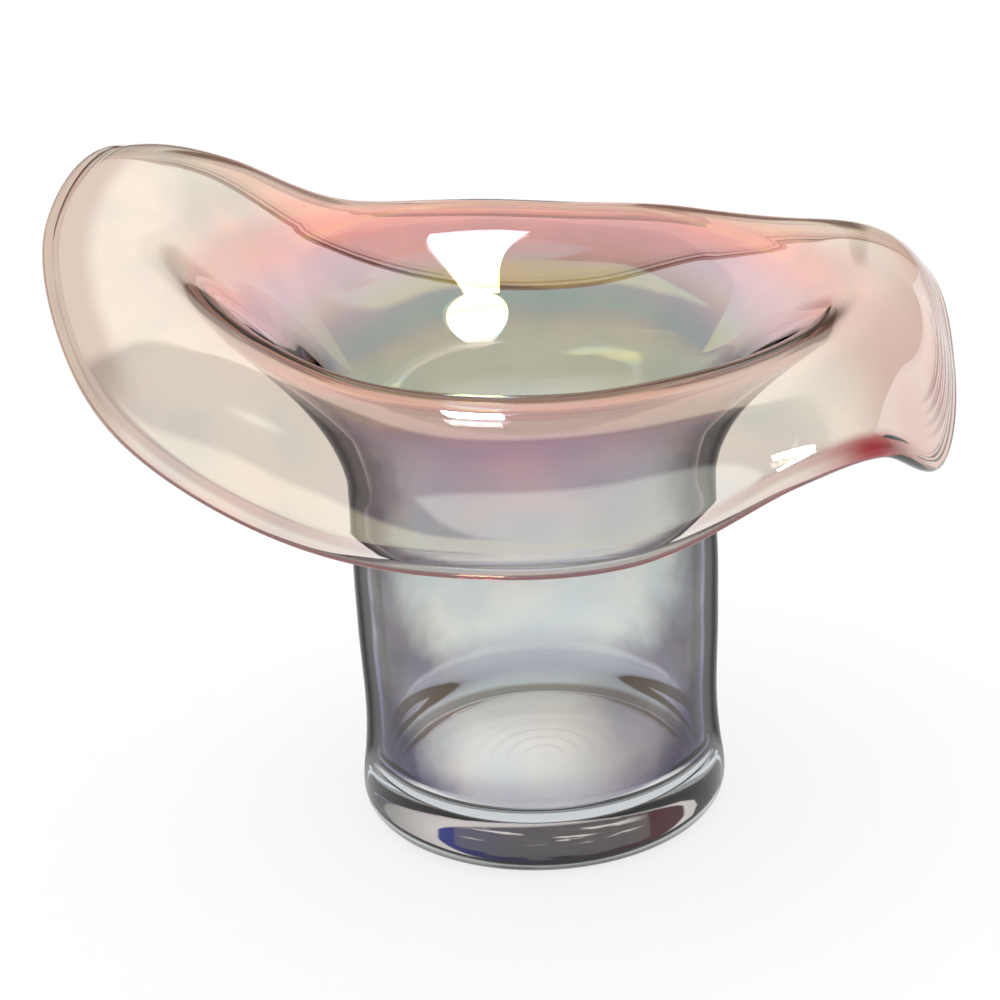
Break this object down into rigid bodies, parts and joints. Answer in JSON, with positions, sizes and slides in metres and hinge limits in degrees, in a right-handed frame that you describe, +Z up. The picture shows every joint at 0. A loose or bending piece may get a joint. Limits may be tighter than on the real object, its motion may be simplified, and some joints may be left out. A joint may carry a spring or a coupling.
{
  "type": "handkerchief vase",
  "caption": "Free-standing blown-glass vase with a thick round foot, straight body, trumpet throat and wide draped brim with a rolled lip; holds water and flower stems.",
  "frame": {"origin": "middle of the foot's flat underside", "axes": "+Z up through the mouth, +X towards the tucked corner of the brim, -Y towards the side that the picture shows"},
  "size_m": [0.2359, 0.2394, 0.1773],
  "materials": {
    "violet_clear_glass": "clear, polished",
    "lavender_glass": "clear, thin lustre",
    "mauve_glass": "clear, lustre inside",
    "peach_glass": "clear, thin lustre",
    "pink_glass": "fire-polished"
  },
  "bodies": {
    "root": {"foot": "violet_clear_glass", "body_wall": "lavender_glass", "throat_flare": "mauve_glass", "handkerchief_brim": "peach_glass", "rolled_lip": "pink_glass"}
  },
  "joints": []
}
